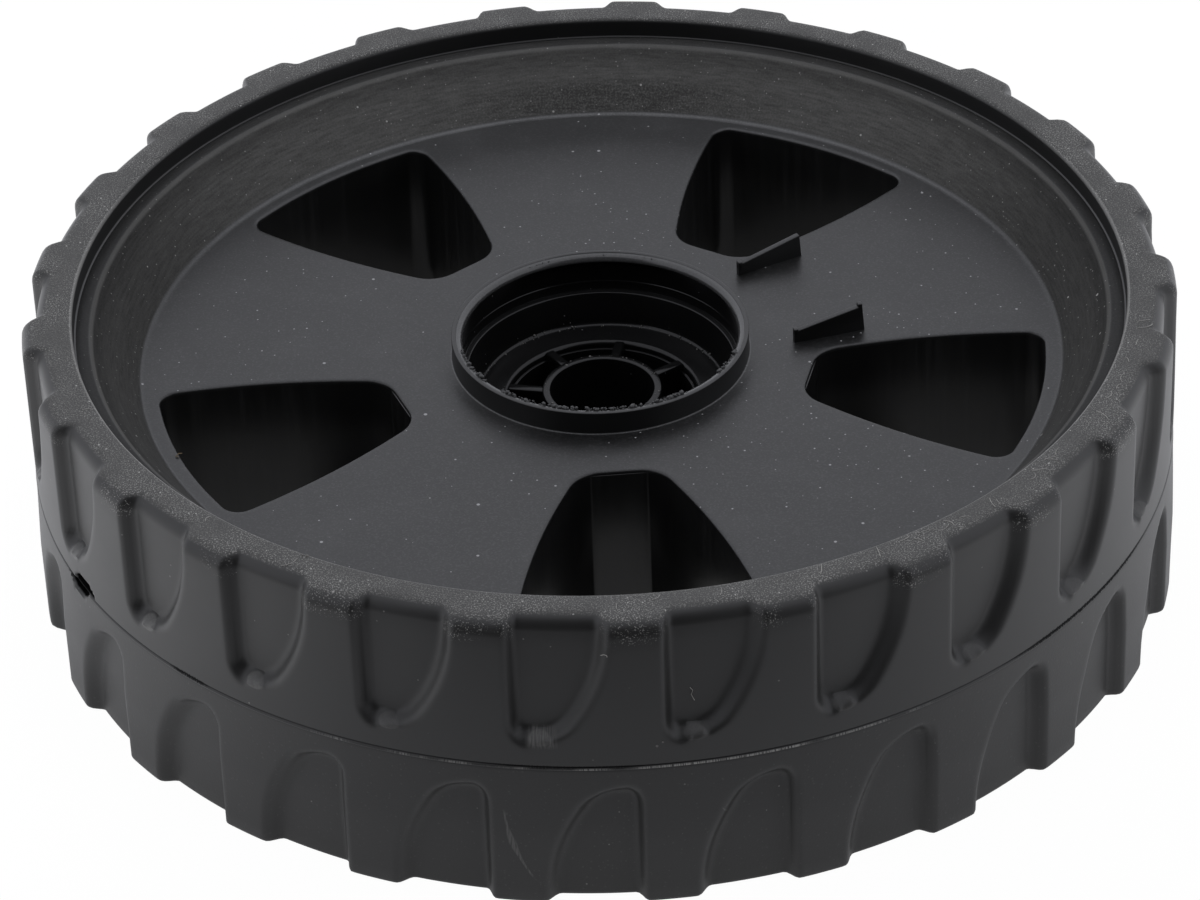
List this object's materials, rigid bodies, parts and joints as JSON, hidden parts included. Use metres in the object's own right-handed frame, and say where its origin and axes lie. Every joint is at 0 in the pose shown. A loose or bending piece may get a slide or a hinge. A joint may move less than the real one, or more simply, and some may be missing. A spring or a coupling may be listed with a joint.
{
  "type": "wheel",
  "caption": "Black plastic wheel for a garden machine: dished rim with windows and a cap collar round the axle sleeve, and a soft tyre with slotted tread.",
  "frame": {"origin": "centre of the wheel, on its axis, midway across the tyre's width", "axes": "+Z along the wheel's axis towards the side with the hub collar; +X and +Y across the wheel, lying flat as in the picture, with -Y towards the viewer"},
  "size_m": [0.2, 0.2, 0.0562],
  "materials": {
    "rim": "satin",
    "tyre": "satin"
  },
  "bodies": {
    "root": {"rim": "rim", "tyre": "tyre"}
  },
  "joints": []
}
